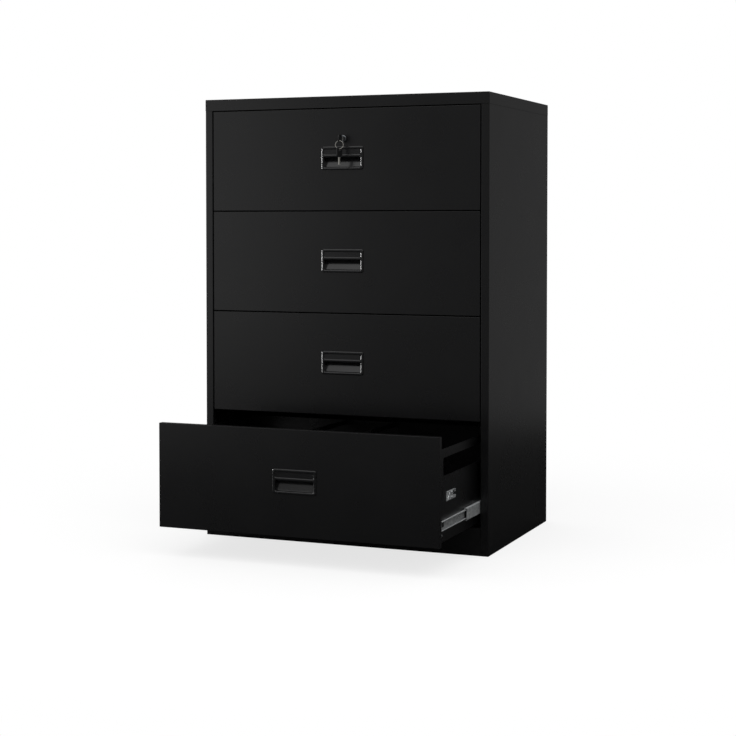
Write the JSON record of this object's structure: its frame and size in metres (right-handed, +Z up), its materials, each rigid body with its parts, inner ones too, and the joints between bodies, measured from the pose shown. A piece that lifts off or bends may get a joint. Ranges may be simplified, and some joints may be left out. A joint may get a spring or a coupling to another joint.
{
  "type": "lateral filing cabinet",
  "caption": "Black steel lateral filing cabinet with wide full-extension drawers on ball-bearing slides, recessed label handles and a key lock in the top drawer.",
  "frame": {"origin": "centre of the cabinet's footprint, on the floor", "axes": "+Z up, +X to the right of the drawer fronts, drawers open towards -Y"},
  "size_m": [0.9, 0.943, 1.32],
  "materials": {
    "powder_coat": "black powder coat with a fine satin texture",
    "zinc_plate": "bright zinc plate",
    "handle_plastic": "dark grey moulded ABS",
    "chrome_plate": "polished chrome plate",
    "key_plastic": "black moulded key head on a nickel-plated blade",
    "ring_steel": "nickel-plated spring steel"
  },
  "bodies": {
    "cabinet": {"side_panel_left": "powder_coat", "side_panel_right": "powder_coat", "top_panel": "powder_coat", "back_panel": "powder_coat", "base_plinth": "powder_coat", "front_post_left": "powder_coat", "front_post_right": "powder_coat", "rear_post_left": "powder_coat", "rear_post_right": "powder_coat", "drawer_1_slide_outer_left": "zinc_plate", "drawer_1_slide_outer_right": "zinc_plate", "drawer_2_slide_outer_left": "zinc_plate", "drawer_2_slide_outer_right": "zinc_plate", "drawer_3_slide_outer_left": "zinc_plate", "drawer_3_slide_outer_right": "zinc_plate", "drawer_4_slide_outer_left": "zinc_plate", "drawer_4_slide_outer_right": "zinc_plate"},
    "drawer_1": {"drawer_1_front": "powder_coat", "drawer_1_tub": "powder_coat", "drawer_1_handle": "handle_plastic", "drawer_1_hanging_frame": "powder_coat", "drawer_1_interlock_lug": "zinc_plate", "drawer_1_slide_inner_left": "zinc_plate", "drawer_1_slide_inner_right": "zinc_plate", "lock_barrel": "chrome_plate"},
    "drawer_1_runners": {"drawer_1_slide_middle_left": "zinc_plate", "drawer_1_slide_middle_right": "zinc_plate"},
    "drawer_2": {"drawer_2_front": "powder_coat", "drawer_2_tub": "powder_coat", "drawer_2_handle": "handle_plastic", "drawer_2_hanging_frame": "powder_coat", "drawer_2_interlock_lug": "zinc_plate", "drawer_2_slide_inner_left": "zinc_plate", "drawer_2_slide_inner_right": "zinc_plate"},
    "drawer_2_runners": {"drawer_2_slide_middle_left": "zinc_plate", "drawer_2_slide_middle_right": "zinc_plate"},
    "drawer_3": {"drawer_3_front": "powder_coat", "drawer_3_tub": "powder_coat", "drawer_3_handle": "handle_plastic", "drawer_3_hanging_frame": "powder_coat", "drawer_3_interlock_lug": "zinc_plate", "drawer_3_slide_inner_left": "zinc_plate", "drawer_3_slide_inner_right": "zinc_plate"},
    "drawer_3_runners": {"drawer_3_slide_middle_left": "zinc_plate", "drawer_3_slide_middle_right": "zinc_plate"},
    "drawer_4": {"drawer_4_front": "powder_coat", "drawer_4_tub": "powder_coat", "drawer_4_handle": "handle_plastic", "drawer_4_hanging_frame": "powder_coat", "drawer_4_interlock_lug": "zinc_plate", "drawer_4_slide_inner_left": "zinc_plate", "drawer_4_slide_inner_right": "zinc_plate"},
    "drawer_4_runners": {"drawer_4_slide_middle_left": "zinc_plate", "drawer_4_slide_middle_right": "zinc_plate"},
    "lock_plug": {"lock_plug": "chrome_plate", "key": "key_plastic"},
    "lock_rod": {"lock_rod": "zinc_plate"},
    "interlock_bar": {"interlock_bar": "zinc_plate"},
    "key_ring": {"key_ring": "ring_steel"},
    "spare_key": {"spare_key": "key_plastic"}
  },
  "joints": [
    {"name": "drawer_1_slide", "type": "slide", "parent": "cabinet", "child": "drawer_1", "axis": [0, -1, 0], "range_m": [0, 0.5]},
    {"name": "drawer_1_runner_slide", "type": "slide", "parent": "cabinet", "child": "drawer_1_runners", "axis": [0, -1, 0], "range_m": [0, 0.25]},
    {"name": "drawer_2_slide", "type": "slide", "parent": "cabinet", "child": "drawer_2", "axis": [0, -1, 0], "range_m": [0, 0.5]},
    {"name": "drawer_2_runner_slide", "type": "slide", "parent": "cabinet", "child": "drawer_2_runners", "axis": [0, -1, 0], "range_m": [0, 0.25]},
    {"name": "drawer_3_slide", "type": "slide", "parent": "cabinet", "child": "drawer_3", "axis": [0, -1, 0], "range_m": [0, 0.5]},
    {"name": "drawer_3_runner_slide", "type": "slide", "parent": "cabinet", "child": "drawer_3_runners", "axis": [0, -1, 0], "range_m": [0, 0.25]},
    {"name": "drawer_4_slide", "type": "slide", "parent": "cabinet", "child": "drawer_4", "axis": [0, -1, 0], "range_m": [-0.34, 0.16]},
    {"name": "drawer_4_runner_slide", "type": "slide", "parent": "cabinet", "child": "drawer_4_runners", "axis": [0, -1, 0], "range_m": [-0.17, 0.08]},
    {"name": "lock_turn", "type": "hinge", "parent": "drawer_1", "child": "lock_plug", "pos_m": [0.003, -0.2995, 1.1945], "axis": [0, 1, 0], "range_deg": [0, 90]},
    {"name": "lock_rod_throw", "type": "slide", "parent": "drawer_1", "child": "lock_rod", "axis": [1, 0, 0], "range_m": [0, 0.015]},
    {"name": "interlock_lift", "type": "slide", "parent": "cabinet", "child": "interlock_bar", "axis": [0, 0, 1], "range_m": [0, 0.006]},
    {"name": "key_ring_swing", "type": "hinge", "parent": "lock_plug", "child": "key_ring", "pos_m": [0.003, -0.33, 1.1873], "axis": [0.9135, 0.4067, 0], "range_deg": [-60, 10]},
    {"name": "spare_key_swing", "type": "hinge", "parent": "key_ring", "child": "spare_key", "pos_m": [0.003, -0.33, 1.1643], "axis": [0.9135, 0.4067, 0], "range_deg": [-60, 12]}
  ],
  "couplings": [
    {"joint": "drawer_1_runner_slide", "follows": "drawer_1_slide", "ratio": 0.5},
    {"joint": "drawer_2_runner_slide", "follows": "drawer_2_slide", "ratio": 0.5},
    {"joint": "drawer_3_runner_slide", "follows": "drawer_3_slide", "ratio": 0.5},
    {"joint": "drawer_4_runner_slide", "follows": "drawer_4_slide", "ratio": 0.5},
    {"joint": "lock_turn", "follows": "interlock_lift", "rad_per_m": 261.79},
    {"joint": "lock_rod_throw", "follows": "interlock_lift", "ratio": 2.5}
  ]
}
